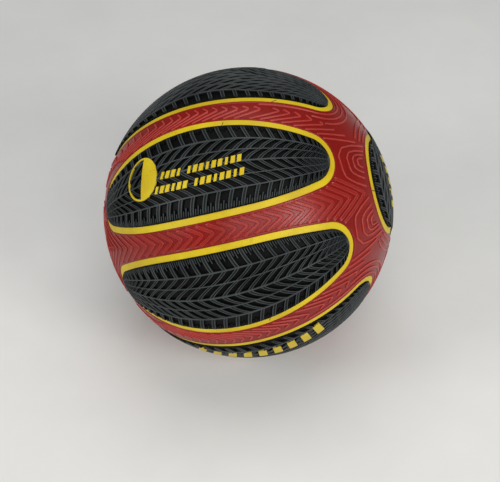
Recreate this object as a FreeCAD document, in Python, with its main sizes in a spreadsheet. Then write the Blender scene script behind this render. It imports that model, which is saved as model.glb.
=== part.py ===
import FreeCAD
import Part
import Sketcher
import math
import os

# A moulded rubber ball with tyre-tread panels, as an assembly of its real layers.
# The row's origin is the ball's centre and +Z is up as the ball lies at rest.
#
# The pattern has a frame of its own: +Z out through the valve, +X along the valve side's
# channel, +Y across it. The valve side carries two long panels beside that channel and two
# lobe panels that wrap round at +Y and -Y. The far side is laid out the same way, turned half
# a turn about the line X = Y, and its lobes have fuller arms.

SIZES = {
    # layers, as radii from the ball's centre, mm
    "tread_radius": 120.5,
    "channel_radius": 119.9,
    "border_radius": 118.8,
    "cover_inner_radius": 118.0,
    "carcass_inner_radius": 117.2,
    "winding_inner_radius": 116.7,
    "bladder_inner_radius": 116.0,
    # width of the painted border strip round every panel, degrees at the centre
    "border_width": 2.5,
    # outline of a long panel, degrees at the centre
    "channel_half_width": 4.6,
    "channel_edge_run": 18.8,
    "sweep_size": 69.6,
    "sweep_turn": 29.9,
    "long_end_size": 11.4,
    "long_outer_size": 83.1,
    # outline of a lobe panel on the valve side, degrees at the centre
    "valve_dome_offset": 2.6,
    "valve_dome_size": 20.1,
    "valve_dome_turn": 90.0,
    "valve_neck_size": 13.0,
    "valve_neck_turn": 123.4,
    "valve_brim_size": 16.1,
    "valve_brim_turn": 18.0,
    "valve_tip_size": 6.0,
    "valve_near_size": 75.4,
    # outline of a lobe panel on the far side, degrees at the centre
    "far_dome_offset": 3.9,
    "far_dome_size": 21.3,
    "far_dome_turn": 58.8,
    "far_neck_size": 8.7,
    "far_neck_turn": 69.8,
    "far_brim_size": 25.3,
    "far_brim_turn": 62.9,
    "far_tip_size": 10.7,
    "far_near_size": 75.1,
    # the planes that hold the two ends of each panel's drafted block, mm from the centre
    "low_plane": 50.0,
    "high_plane": 130.0,
    # valve, mm
    "needle_radius": 1.1,
    "needle_depth": 9.0,
    "insert_radius": 2.6,
    "insert_head_radius": 3.4,
    "insert_head_depth": 1.4,
    "insert_collar_radius": 3.4,
    "insert_collar_depth": 9.0,
    "insert_collar_height": 1.6,
    "insert_length": 19.0,
    "neck_radius": 4.8,
    "stem_radius": 5.6,
    "stem_length": 16.0,
    "flange_radius": 14.0,
    "flange_thickness": 1.2,
    "valve_recess": 0.3,
    # how the ball lies at rest: turns about Z, then Y, then X, degrees
    "rest_yaw": 110.7,
    "rest_pitch": -48.9,
    "rest_roll": 147.8,
}


def new_document():
    doc = FreeCAD.newDocument("ball")
    sheet = doc.addObject("Spreadsheet::Sheet", "sizes")
    for row, (name, value) in enumerate(SIZES.items(), start=1):
        sheet.set("A%d" % row, name)
        sheet.set("B%d" % row, str(value))
        sheet.setAlias("B%d" % row, name)
    doc.recompute()
    return doc


def size(doc, name):
    return float(doc.sizes.get(name))


# ---- outlines: arcs of circles drawn on a ball of radius 1 ----


class BallArc:
    """A stretch of a circle drawn on the ball: its centre, angular size and two ends."""

    def __init__(self, centre, angle, start, end, convex=True):
        self.centre = centre
        self.angle = angle
        self.start = start
        self.end = end
        self.convex = convex

    def inset(self, width):
        """The same stretch, moved width radians into the panel."""
        change = -width if self.convex else width
        angle = self.angle + change
        start = walk(self.centre, self.start, angle)
        end = walk(self.centre, self.end, angle)
        return BallArc(self.centre, angle, start, end, self.convex)


def walk(origin, target, angle):
    """The point that is angle away from origin on the way to target."""
    ahead = target - origin * origin.dot(target)
    ahead.normalize()
    return origin * math.cos(angle) + ahead * math.sin(angle)


def swing(point, centre, angle):
    """The point turned about centre."""
    turn = FreeCAD.Rotation(centre, math.degrees(angle))
    return turn.multVec(point)


def meridian_point(angle):
    """A point on the plane of symmetry, angle from +Z towards +Y."""
    return FreeCAD.Vector(0, math.sin(angle), math.cos(angle))


def centre_on_meridian(target, distance):
    """The angle of the lower point on the plane of symmetry that is distance from target."""
    middle = math.atan2(target.y, target.z)
    reach = math.cos(distance) / math.hypot(target.y, target.z)
    return middle - math.acos(reach)


def closing_arcs(small, size_small, start, size_large):
    """A small arc from start, and the large arc that it runs into, up to the symmetry plane."""
    angle = centre_on_meridian(small, size_large - size_small)
    large = meridian_point(angle)
    touch = walk(large, small, size_large)
    last = meridian_point(angle + size_large)
    return [BallArc(small, size_small, start, touch), BallArc(large, size_large, touch, last)]


def long_panel_outline(doc):
    """Half of a long panel's outline, from the channel's middle round to the outer edge."""
    half = math.radians(size(doc, "channel_half_width"))
    run = math.radians(size(doc, "channel_edge_run"))
    sweep = math.radians(size(doc, "sweep_size"))
    sweep_turn = math.radians(size(doc, "sweep_turn"))
    end = math.radians(size(doc, "long_end_size"))
    outer = math.radians(size(doc, "long_outer_size"))
    side = FreeCAD.Vector(0, 1, 0)
    first = meridian_point(half)
    second = swing(first, side, run)
    sweep_centre = walk(second, side, sweep)
    third = swing(second, sweep_centre, sweep_turn)
    end_centre = walk(third, sweep_centre, end)
    return [
        BallArc(side, math.pi / 2 - half, first, second),
        BallArc(sweep_centre, sweep, second, third),
    ] + closing_arcs(end_centre, end, third, outer)


def lobe_panel_outline(doc, side):
    """Half of a lobe panel's outline, from the dome's middle round the tip to the near edge."""
    offset = math.radians(size(doc, side + "_dome_offset"))
    dome = math.radians(size(doc, side + "_dome_size"))
    dome_turn = math.radians(size(doc, side + "_dome_turn"))
    neck = math.radians(size(doc, side + "_neck_size"))
    neck_turn = math.radians(size(doc, side + "_neck_turn"))
    brim = math.radians(size(doc, side + "_brim_size"))
    brim_turn = math.radians(size(doc, side + "_brim_turn"))
    tip = math.radians(size(doc, side + "_tip_size"))
    near = math.radians(size(doc, side + "_near_size"))
    dome_centre = meridian_point(offset)
    first = meridian_point(offset - dome)
    second = swing(first, dome_centre, dome_turn)
    neck_centre = walk(dome_centre, second, dome + neck)
    third = swing(second, neck_centre, -neck_turn)
    brim_centre = walk(neck_centre, third, neck + brim)
    fourth = swing(third, brim_centre, brim_turn)
    tip_centre = walk(fourth, brim_centre, tip)
    return [
        BallArc(dome_centre, dome, first, second),
        BallArc(neck_centre, neck, second, third, convex=False),
        BallArc(brim_centre, brim, third, fourth),
    ] + closing_arcs(tip_centre, tip, fourth, near)


# ---- flat sketches of those outlines ----
# Seen from the ball's far pole, every circle on the ball looks like a circle on a flat plane.
# A block whose walls all point at that pole therefore cuts the ball along the true outline,
# and its walls lean like the draft of a mould.


def flat_point(point, scale):
    return FreeCAD.Vector(point.x, point.y, 0) * (scale / (1 + point.z))


def flat_circle(arc, scale):
    """The centre and radius of the flat circle that an arc's circle is seen as."""
    away = math.acos(max(-1.0, min(1.0, arc.centre.z)))
    direction = FreeCAD.Vector(arc.centre.x, arc.centre.y, 0)
    direction.normalize()
    near = scale * math.tan((away - arc.angle) / 2)
    far = scale * math.tan((away + arc.angle) / 2)
    return direction * ((near + far) / 2), (far - near) / 2


def flat_arc(arc, scale, side):
    """The flat arc for one half of an outline: side is 1 for +X and -1 for -X."""
    centre, radius = flat_circle(arc, scale)
    start = flat_point(arc.start, scale)
    end = flat_point(arc.end, scale)
    for vector in (centre, start, end):
        vector.x = vector.x * side
    circle = Part.Circle(centre, FreeCAD.Vector(0, 0, 1), radius)
    if arc.convex != (side > 0):
        start, end = end, start
    return Part.ArcOfCircle(circle, circle.parameter(start), circle.parameter(end))


def outline_sketch(doc, body, name, arcs, plane, turn):
    """One flat outline on a plane across the panel's axis, both halves drawn."""
    sketch = body.newObject("Sketcher::SketchObject", name)
    attach(body, sketch, "XY_Plane")
    height = size(doc, plane)
    place_on_axis(sketch, turn, plane, height)
    scale = height + size(doc, "tread_radius")
    for arc in arcs:
        sketch.addGeometry(flat_arc(arc, scale, 1), False)
        sketch.addGeometry(flat_arc(arc, scale, -1), False)
    return sketch


def attach(body, sketch, plane_role):
    for feature in body.Origin.OriginFeatures:
        if feature.Role == plane_role:
            sketch.AttachmentSupport = [(feature, "")]
    sketch.MapMode = "FlatFace"


def place_on_axis(sketch, turn, plane, height):
    """Turn the sketch, and bind its distance from the ball's centre to the sheet."""
    away = turn.multVec(FreeCAD.Vector(0, 0, 1))
    sketch.AttachmentOffset = FreeCAD.Placement(away * height, turn)
    for letter in ("x", "y", "z"):
        share = round(getattr(away, letter))
        if share:
            sketch.setExpression("AttachmentOffset.Base." + letter, "%d * sizes.%s" % (share, plane))


def outline_block(doc, body, kind, name, arcs, turn=FreeCAD.Rotation()):
    """A drafted block with the outline, added to the body or taken away from it."""
    low = outline_sketch(doc, body, name + "_low", arcs, "low_plane", turn)
    high = outline_sketch(doc, body, name + "_high", arcs, "high_plane", turn)
    block = body.newObject(kind, name)
    block.Profile = low
    block.Sections = [high]
    block.Ruled = True
    return block


# ---- profiles turned about the piece's own +Z axis ----


class Profile:
    """A closed sketch on the XZ plane of a body, drawn edge by edge round its outline."""

    def __init__(self, doc, body, name, start):
        self.doc = doc
        self.sketch = body.newObject("Sketcher::SketchObject", name)
        attach(body, self.sketch, "XZ_Plane")
        self.start = start
        self.at = start
        self.edges = []

    def point(self, place):
        return FreeCAD.Vector(place[0], place[1], 0)

    def line(self, place, alias=None):
        """A straight edge. A line beside the axis takes its distance from the sheet."""
        index = self.sketch.addGeometry(Part.LineSegment(self.point(self.at), self.point(place)), False)
        self.join(index, 1, 2)
        if place[0] == self.at[0]:
            self.sketch.addConstraint(Sketcher.Constraint("Vertical", index))
        if alias:
            self.bind(Sketcher.Constraint("DistanceX", -1, 1, index, 1, place[0]), alias)
        self.at = place

    def arc(self, place, alias=None):
        """An arc about the ball's centre. It takes its radius from the sheet."""
        circle = Part.Circle(FreeCAD.Vector(0, 0, 0), FreeCAD.Vector(0, 0, 1), math.hypot(*place))
        begin = math.atan2(self.at[1], self.at[0])
        finish = math.atan2(place[1], place[0])
        forward = finish > begin
        index = self.sketch.addGeometry(
            Part.ArcOfCircle(circle, min(begin, finish), max(begin, finish)), False
        )
        self.join(index, 1 if forward else 2, 2 if forward else 1)
        self.sketch.addConstraint(Sketcher.Constraint("Coincident", index, 3, -1, 1))
        if alias:
            self.bind(Sketcher.Constraint("Radius", index, math.hypot(*place)), alias)
        self.at = place

    def join(self, index, first, last):
        if self.edges:
            before, end = self.edges[-1][0], self.edges[-1][2]
            self.sketch.addConstraint(Sketcher.Constraint("Coincident", before, end, index, first))
        self.edges.append((index, first, last))

    def bind(self, constraint, alias):
        number = self.sketch.addConstraint(constraint)
        self.sketch.setExpression("Constraints[%d]" % number, "sizes." + alias)

    def close(self):
        self.line(self.start)
        index, first, last = self.edges[-1]
        begin, head, _ = self.edges[0]
        self.sketch.addConstraint(Sketcher.Constraint("Coincident", index, last, begin, head))
        return self.sketch


def revolve(body, kind, name, sketch):
    feature = body.newObject(kind, name)
    feature.Profile = sketch
    feature.ReferenceAxis = (sketch, ["V_Axis"])
    feature.Angle = 360
    return feature


def height_on(radius, away):
    """How high a ball of this radius is at a distance away from the axis."""
    return math.sqrt(radius * radius - away * away)


def sphere_with_hole(doc, body, inner, outer, hole):
    """A round shell with a straight hole at +Z, between two radii from the sheet."""
    low, high = size(doc, inner), size(doc, outer)
    away = size(doc, hole)
    drawing = Profile(doc, body, "shell_profile", (0, -low))
    drawing.arc((away, height_on(low, away)), inner)
    drawing.line((away, height_on(high, away)), hole)
    drawing.arc((0, -high), outer)
    return revolve(body, "PartDesign::Revolution", "shell", drawing.close())


def hollow_out(doc, body, alias):
    """Take away everything nearer to the ball's centre than the radius."""
    radius = size(doc, alias)
    drawing = Profile(doc, body, "core_profile", (0, -radius))
    drawing.arc((0, radius), alias)
    return revolve(body, "PartDesign::Groove", "core", drawing.close())


def trim_outside(doc, body, alias):
    """Take away everything further from the ball's centre than the radius."""
    radius = size(doc, alias)
    reach = 2 * size(doc, "high_plane")
    drawing = Profile(doc, body, "trim_profile", (radius, 0))
    drawing.arc((0, radius), alias)
    drawing.line((0, reach))
    drawing.line((reach, reach))
    drawing.line((reach, 0))
    return revolve(body, "PartDesign::Groove", "trim", drawing.close())


# ---- sub-parts ----


def new_body(doc, label, rest, turn=FreeCAD.Rotation()):
    body = doc.addObject("PartDesign::Body", label)
    body.Label = label
    body.Placement = FreeCAD.Placement(FreeCAD.Vector(0, 0, 0), rest * turn)
    return body


def round_layer(doc, label, rest, inner, outer):
    """One unbroken layer of the ball's wall, with the hole that the valve passes through."""
    body = new_body(doc, label, rest)
    sphere_with_hole(doc, body, inner, outer, "neck_radius")
    return body


def tread_panel(doc, label, rest, turn, outline):
    """One black panel, inside its border strip."""
    body = new_body(doc, label, rest, turn)
    inner = inset_outline(doc, outline)
    outline_block(doc, body, "PartDesign::AdditiveLoft", "block", inner)
    hollow_out(doc, body, "cover_inner_radius")
    trim_outside(doc, body, "tread_radius")
    return body


def border_strip(doc, label, rest, turn, outline):
    """The strip between a panel and the channel cover."""
    body = new_body(doc, label, rest, turn)
    outline_block(doc, body, "PartDesign::AdditiveLoft", "block", outline)
    hollow_out(doc, body, "cover_inner_radius")
    trim_outside(doc, body, "border_radius")
    outline_block(doc, body, "PartDesign::SubtractiveLoft", "window", inset_outline(doc, outline))
    return body


def inset_outline(doc, outline):
    width = math.radians(size(doc, "border_width"))
    return [arc.inset(width) for arc in outline]


def channel_cover(doc, rest, places):
    """The red net between the panels: a round shell with a window for each of them."""
    body = new_body(doc, "channel_cover", rest)
    sphere_with_hole(doc, body, "cover_inner_radius", "channel_radius", "neck_radius")
    for label, turn, outline in places:
        name = label + "_window"
        outline_block(doc, body, "PartDesign::SubtractiveLoft", name, outline, turn)
    return body


def valve_heights(doc):
    """Distances from the ball's centre of the valve's steps, from its mouth inwards."""
    mouth = size(doc, "channel_radius") - size(doc, "valve_recess")
    collar = mouth - size(doc, "insert_collar_depth")
    return {
        "mouth": mouth,
        "head": mouth - size(doc, "insert_head_depth"),
        "collar_top": collar,
        "collar_foot": collar - size(doc, "insert_collar_height"),
        "needle": mouth - size(doc, "needle_depth"),
        "insert_end": mouth - size(doc, "insert_length"),
        "stem_end": size(doc, "bladder_inner_radius") - size(doc, "stem_length"),
    }


def valve_housing(doc, rest):
    """The rubber housing: a neck through the wall, a flange in the bladder and a stem."""
    body = new_body(doc, "valve_housing", rest)
    at = valve_heights(doc)
    head = size(doc, "insert_head_radius")
    neck = size(doc, "neck_radius")
    stem = size(doc, "stem_radius")
    bore = size(doc, "insert_radius")
    collar = size(doc, "insert_collar_radius")
    edge = size(doc, "flange_radius")
    wall = size(doc, "bladder_inner_radius")
    under = wall - size(doc, "flange_thickness")
    drawing = Profile(doc, body, "housing_profile", (head, at["mouth"]))
    drawing.line((neck, at["mouth"]))
    drawing.line((neck, height_on(wall, neck)), "neck_radius")
    drawing.arc((edge, height_on(wall, edge)), "bladder_inner_radius")
    drawing.line((edge, height_on(under, edge)), "flange_radius")
    drawing.arc((stem, height_on(under, stem)))
    drawing.line((stem, at["stem_end"]), "stem_radius")
    drawing.line((bore, at["stem_end"]))
    drawing.line((bore, at["collar_foot"]), "insert_radius")
    drawing.line((collar, at["collar_foot"]))
    drawing.line((collar, at["collar_top"]), "insert_collar_radius")
    drawing.line((bore, at["collar_top"]))
    drawing.line((bore, at["head"]), "insert_radius")
    drawing.line((head, at["head"]))
    revolve(body, "PartDesign::Revolution", "housing", drawing.close())
    return body


def valve_insert(doc, rest):
    """The plug that seals on the needle: a head, a shank with a collar and a blind bore."""
    body = new_body(doc, "valve_insert", rest)
    at = valve_heights(doc)
    head = size(doc, "insert_head_radius")
    shank = size(doc, "insert_radius")
    collar = size(doc, "insert_collar_radius")
    needle = size(doc, "needle_radius")
    drawing = Profile(doc, body, "insert_profile", (needle, at["mouth"]))
    drawing.line((head, at["mouth"]))
    drawing.line((head, at["head"]), "insert_head_radius")
    drawing.line((shank, at["head"]))
    drawing.line((shank, at["collar_top"]), "insert_radius")
    drawing.line((collar, at["collar_top"]))
    drawing.line((collar, at["collar_foot"]), "insert_collar_radius")
    drawing.line((shank, at["collar_foot"]))
    drawing.line((shank, at["insert_end"]), "insert_radius")
    drawing.line((0, at["insert_end"]))
    drawing.line((0, at["needle"]))
    drawing.line((needle, at["needle"]))
    revolve(body, "PartDesign::Revolution", "insert", drawing.close())
    return body


def turn_from_axes(own_x, own_y, own_z):
    """The turn that carries a piece's own axes to these directions of the pattern."""
    matrix = FreeCAD.Matrix()
    matrix.A11, matrix.A21, matrix.A31 = own_x
    matrix.A12, matrix.A22, matrix.A32 = own_y
    matrix.A13, matrix.A23, matrix.A33 = own_z
    return FreeCAD.Rotation(matrix)


def panel_places(doc):
    """Every panel's name, its turn in the pattern and its outline."""
    long_outline = long_panel_outline(doc)
    valve_lobe = lobe_panel_outline(doc, "valve")
    far_lobe = lobe_panel_outline(doc, "far")
    half_turn = FreeCAD.Rotation(FreeCAD.Vector(0, 0, 1), 180)
    far_side = FreeCAD.Rotation(FreeCAD.Vector(1, 1, 0), 180)
    beside_valve = FreeCAD.Rotation()
    round_the_side = turn_from_axes((-1, 0, 0), (0, 0, 1), (0, 1, 0))
    return [
        ("valve_right", beside_valve, long_outline),
        ("valve_left", half_turn, long_outline),
        ("right_lobe", round_the_side, valve_lobe),
        ("left_lobe", half_turn * round_the_side, valve_lobe),
        ("front_upper", far_side, long_outline),
        ("front_lower", far_side * half_turn, long_outline),
        ("top_lobe", far_side * round_the_side, far_lobe),
        ("bottom_lobe", far_side * half_turn * round_the_side, far_lobe),
    ]


def build(doc):
    rest = FreeCAD.Rotation(size(doc, "rest_yaw"), size(doc, "rest_pitch"), size(doc, "rest_roll"))
    places = panel_places(doc)
    parts = [
        round_layer(doc, "bladder", rest, "bladder_inner_radius", "winding_inner_radius"),
        round_layer(doc, "nylon_winding", rest, "winding_inner_radius", "carcass_inner_radius"),
        round_layer(doc, "carcass", rest, "carcass_inner_radius", "cover_inner_radius"),
        channel_cover(doc, rest, places),
        valve_housing(doc, rest),
        valve_insert(doc, rest),
    ]
    for label, turn, outline in places:
        parts.append(tread_panel(doc, label + "_panel", rest, turn, outline))
        parts.append(border_strip(doc, label + "_border", rest, turn, outline))
    return parts


def check(doc, parts):
    for thing in doc.Objects:
        if "Invalid" in thing.State or "Error" in thing.State:
            raise RuntimeError("%s failed: %s" % (thing.Name, thing.State))
    for part in parts:
        shape = part.Shape
        if shape.isNull() or not shape.isValid() or len(shape.Solids) != 1:
            raise RuntimeError("%s has no sound solid" % part.Label)


def main():
    doc = new_document()
    parts = build(doc)
    doc.recompute()
    check(doc, parts)
    os.makedirs("parts", exist_ok=True)
    total = 0.0
    for part in parts:
        part.Shape.exportStep("parts/%s.step" % part.Label)
        total += part.Shape.Volume
        print("%-22s %10.1f mm3" % (part.Label, part.Shape.Volume))
    print("total %.1f cm3" % (total / 1000))


main()
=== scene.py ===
import bpy
import bmesh
import math
import numpy as np
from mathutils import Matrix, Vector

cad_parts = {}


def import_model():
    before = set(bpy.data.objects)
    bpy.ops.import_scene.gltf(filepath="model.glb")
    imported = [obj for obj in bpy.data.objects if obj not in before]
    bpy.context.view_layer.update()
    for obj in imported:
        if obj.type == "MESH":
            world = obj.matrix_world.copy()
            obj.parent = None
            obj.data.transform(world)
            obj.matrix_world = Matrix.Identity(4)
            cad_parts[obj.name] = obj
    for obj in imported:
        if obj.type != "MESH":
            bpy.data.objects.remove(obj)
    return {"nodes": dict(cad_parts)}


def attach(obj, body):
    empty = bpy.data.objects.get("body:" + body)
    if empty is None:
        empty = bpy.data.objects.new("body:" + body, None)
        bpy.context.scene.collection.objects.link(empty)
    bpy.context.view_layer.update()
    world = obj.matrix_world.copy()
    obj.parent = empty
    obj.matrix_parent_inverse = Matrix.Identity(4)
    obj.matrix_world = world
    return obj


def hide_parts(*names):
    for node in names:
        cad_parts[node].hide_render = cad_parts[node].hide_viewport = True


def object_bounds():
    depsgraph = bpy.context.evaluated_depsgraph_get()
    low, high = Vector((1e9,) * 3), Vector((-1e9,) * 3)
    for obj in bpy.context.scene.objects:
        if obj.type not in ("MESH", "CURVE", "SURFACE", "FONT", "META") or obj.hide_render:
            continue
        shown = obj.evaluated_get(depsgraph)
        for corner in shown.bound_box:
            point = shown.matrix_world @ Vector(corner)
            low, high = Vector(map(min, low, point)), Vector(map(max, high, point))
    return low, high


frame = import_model()
cad_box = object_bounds()

# Lengths are metres and angles are radians unless a comment says mm or degrees. The row's
# origin is the ball's centre.
# A panel's own frame: +Z out through the middle of its pair or lobe, +X along its length.

MM = 0.001
DEG = math.pi / 180.0

# the ball's radii, mm
TREAD_TOP = 120.42
TREAD_FLOOR = 118.3
WALL_FOOT = 118.5
SKIN = 119.15
PRINT_TOP = 120.47
PRINT_FOOT = 119.3

# the CAD's outline sizes in degrees, in the order in which long_outline and lobe_outline name them
LONG_SIZES = (4.6, 18.8, 69.6, 29.9, 11.4, 83.1)
VALVE_LOBE_SIZES = (2.6, 20.1, 90.0, 13.0, 123.4, 16.1, 18.0, 6.0, 75.4)
FAR_LOBE_SIZES = (3.9, 21.3, 58.8, 8.7, 69.8, 25.3, 62.9, 10.7, 75.1)
BORDER_WIDTH = 2.5 * DEG

# the ball's yaw, pitch and roll as it stands, degrees
REST_TURNS = (110.7, -48.9, 147.8)


# ---- turns and points on a ball of radius 1 ----


def unit(v):
    return v / np.linalg.norm(v, axis=-1, keepdims=True)


def turn_about(axis, angle):
    """The 3x3 matrix that turns by angle about an axis through the centre."""
    x, y, z = unit(np.array(axis, float))
    cross = np.array([[0, -z, y], [z, 0, -x], [-y, x, 0]])
    return np.eye(3) + math.sin(angle) * cross + (1 - math.cos(angle)) * cross @ cross


def walk(origin, target, angle):
    """The point that is angle away from origin on the way to target."""
    ahead = unit(target - origin * np.dot(origin, target))
    return math.cos(angle) * origin + math.sin(angle) * ahead


def swing(point, centre, angle):
    return turn_about(centre, angle) @ point


def meridian_point(angle):
    return np.array([0.0, math.sin(angle), math.cos(angle)])


def place(lon, lat):
    """Unit vectors in a panel's own frame: lon along its length, lat across, in degrees."""
    lon = np.asarray(lon, float) * DEG
    lat = np.asarray(lat, float) * DEG
    return np.stack([np.cos(lat) * np.sin(lon), np.sin(lat), np.cos(lat) * np.cos(lon)], -1)


# ---- panel outlines: the same arcs as the CAD ----


class BallArc:
    """A stretch of a circle drawn on the ball: its centre, angular size and two ends."""

    def __init__(self, centre, size, start, end, convex=True):
        self.centre = centre
        self.size = size
        self.start = start
        self.end = end
        self.convex = convex
        self.east = unit(start - centre * np.dot(start, centre))
        self.north = np.cross(centre, self.east)
        full = math.atan2(np.dot(end, self.north), np.dot(end, self.east)) % (2 * math.pi)
        self.turn = full if convex else full - 2 * math.pi

    def inset(self, width):
        size = self.size + (-width if self.convex else width)
        start = walk(self.centre, self.start, size)
        end = walk(self.centre, self.end, size)
        return BallArc(self.centre, size, start, end, self.convex)

    def sample(self, step):
        """Points along the arc and the directions that point out of the panel there."""
        count = max(4, int(abs(self.turn) * math.sin(self.size) / step))
        angle = np.linspace(0, self.turn, count + 1)[:, None]
        away = np.cos(angle) * self.east + np.sin(angle) * self.north
        points = math.cos(self.size) * self.centre + math.sin(self.size) * away
        out = math.cos(self.size) * away - math.sin(self.size) * self.centre
        return points, out if self.convex else -out

    def distance(self, places):
        """How far places are from this stretch, and on which side: + is outside the panel."""
        reach = np.arccos(np.clip(places @ self.centre, -1, 1))
        angle = np.arctan2(places @ self.north, places @ self.east)
        if self.convex:
            beside = angle % (2 * math.pi) <= self.turn
        else:
            beside = -((-angle) % (2 * math.pi)) >= self.turn
        to_start = np.arccos(np.clip(places @ self.start, -1, 1))
        to_end = np.arccos(np.clip(places @ self.end, -1, 1))
        off = np.where(beside, np.abs(reach - self.size), np.minimum(to_start, to_end))
        side = np.where(reach < self.size, -1.0, 1.0) * (1 if self.convex else -1)
        return off, side


def closing_arcs(small, small_size, start, large_size):
    """A small arc from start, and the large arc that it runs into, up to the symmetry plane."""
    middle = math.atan2(small[1], small[2])
    reach = math.cos(large_size - small_size) / math.hypot(small[1], small[2])
    angle = middle - math.acos(reach)
    large = meridian_point(angle)
    touch = walk(large, small, large_size)
    last = meridian_point(angle + large_size)
    return [BallArc(small, small_size, start, touch), BallArc(large, large_size, touch, last)]


def long_outline():
    half, run, sweep, sweep_turn, end, outer = [v * DEG for v in LONG_SIZES]
    side = np.array([0.0, 1.0, 0.0])
    first = meridian_point(half)
    second = swing(first, side, run)
    sweep_centre = walk(second, side, sweep)
    third = swing(second, sweep_centre, sweep_turn)
    end_centre = walk(third, sweep_centre, end)
    arcs = [BallArc(side, math.pi / 2 - half, first, second)]
    arcs.append(BallArc(sweep_centre, sweep, second, third))
    return arcs + closing_arcs(end_centre, end, third, outer)


def lobe_outline(sizes):
    offset, dome, dome_turn, neck, neck_turn, brim, brim_turn, tip, near = [v * DEG for v in sizes]
    dome_centre = meridian_point(offset)
    first = meridian_point(offset - dome)
    second = swing(first, dome_centre, dome_turn)
    neck_centre = walk(dome_centre, second, dome + neck)
    third = swing(second, neck_centre, -neck_turn)
    brim_centre = walk(neck_centre, third, neck + brim)
    fourth = swing(third, brim_centre, brim_turn)
    tip_centre = walk(fourth, brim_centre, tip)
    arcs = [BallArc(dome_centre, dome, first, second)]
    arcs.append(BallArc(neck_centre, neck, second, third, convex=False))
    arcs.append(BallArc(brim_centre, brim, third, fourth))
    return arcs + closing_arcs(tip_centre, tip, fourth, near)


def outline_distance(arcs, places):
    """Signed angle from a panel's outline, + outside. places are in the panel's own frame."""
    folded = places.copy()
    folded[:, 0] = np.abs(folded[:, 0])
    best = np.full(len(folded), 9.0)
    signed = np.full(len(folded), 9.0)
    for arc in arcs:
        off, side = arc.distance(folded)
        nearer = off < best - 1e-9
        signed = np.where(nearer, off * side, signed)
        best = np.minimum(best, off)
    return signed


def half_chain(arcs, step):
    """The half outline at +X as points and outward directions, start to end."""
    points, out = [], []
    for arc in arcs:
        more, more_out = arc.sample(step)
        stop = None if arc is arcs[-1] else -1
        points.append(more[:stop])
        out.append(more_out[:stop])
    return np.concatenate(points), np.concatenate(out)


def full_ring(arcs, step):
    """The whole outline once round, as points and outward directions."""
    points, out = half_chain(arcs, step)
    mirror = np.array([-1.0, 1.0, 1.0])
    return (np.concatenate([points, points[-2:0:-1] * mirror]),
            np.concatenate([out, out[-2:0:-1] * mirror]))


# ---- where the eight panels are ----


def axes(own_x, own_y, own_z):
    return np.array([own_x, own_y, own_z], float).T


def rest_turn():
    yaw, pitch, roll = [v * DEG for v in REST_TURNS]
    return turn_about((0, 0, 1), yaw) @ turn_about((0, 1, 0), pitch) @ turn_about((1, 0, 0), roll)


REST = rest_turn()
HALF_TURN = turn_about((0, 0, 1), math.pi)
FAR_SIDE = turn_about((1, 1, 0), math.pi)
ROUND_THE_SIDE = axes((-1, 0, 0), (0, 0, 1), (0, 1, 0))

LONG = long_outline()
VALVE_LOBE = lobe_outline(VALVE_LOBE_SIZES)
FAR_LOBE = lobe_outline(FAR_LOBE_SIZES)

# name, own frame to row frame, outline, which way along its length the tread's arrows point
PANELS = [
    ("valve_right", REST, LONG, 1),
    ("valve_left", REST @ HALF_TURN, LONG, -1),
    ("right_lobe", REST @ ROUND_THE_SIDE, VALVE_LOBE, 1),
    ("left_lobe", REST @ HALF_TURN @ ROUND_THE_SIDE, VALVE_LOBE, 1),
    ("front_upper", REST @ FAR_SIDE, LONG, 1),
    ("front_lower", REST @ FAR_SIDE @ HALF_TURN, LONG, -1),
    ("top_lobe", REST @ FAR_SIDE @ ROUND_THE_SIDE, FAR_LOBE, 1),
    ("bottom_lobe", REST @ FAR_SIDE @ HALF_TURN @ ROUND_THE_SIDE, FAR_LOBE, 1),
]


def distances(places):
    """Signed angle of row-frame places from every panel's outline, one column a panel."""
    return np.stack([outline_distance(arcs, places @ own) for _, own, arcs, _ in PANELS], -1)


# ---- meshes ----

MERGE_WITHIN = 2e-6


def new_piece(name, points, faces, material, smooth_angle=35.0):
    mesh = bpy.data.meshes.new(name)
    mesh.from_pydata([tuple(p) for p in points], [], faces)
    work = bmesh.new()
    work.from_mesh(mesh)
    bmesh.ops.remove_doubles(work, verts=work.verts, dist=MERGE_WITHIN)
    bmesh.ops.recalc_face_normals(work, faces=work.faces)
    work.to_mesh(mesh)
    work.free()
    mesh.polygons.foreach_set("use_smooth", [True] * len(mesh.polygons))
    mesh.set_sharp_from_angle(angle=smooth_angle * DEG)
    mesh.materials.append(material)
    piece = bpy.data.objects.new(name, mesh)
    bpy.context.scene.collection.objects.link(piece)
    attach(piece, "root")
    return piece


def grid_faces(rows, columns, closed=False):
    """Quads between neighbouring rows of points; closed joins the last column to the first."""
    faces = []
    last = columns if closed else columns - 1
    for r in range(rows - 1):
        for c in range(last):
            d = (c + 1) % columns
            a = r * columns
            b = a + columns
            faces.append((a + c, a + d, b + d, b + c))
    return faces


def joined(meshes):
    """Several meshes, each its points and its faces, as one."""
    points, faces, total = [], [], 0
    for more, quads in meshes:
        points.append(more)
        faces += [tuple(total + corner for corner in quad) for quad in quads]
        total += len(more)
    return np.concatenate(points), faces


# ---- tread panels: heights are shares of the depth from the cells' floor to the ribs' top ----

# degrees from rib to rib at a panel's middle
PITCH = 4.72

# half a rib's width in pitches, in the rows beside the panel's edges and in those between
SHOULDER_RIB = 0.145
BODY_RIB = 0.17

# how high the comb's teeth are: beside the channel, and beside the outer edge
COMB_HEIGHT = (0.85, 0.50)

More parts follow.
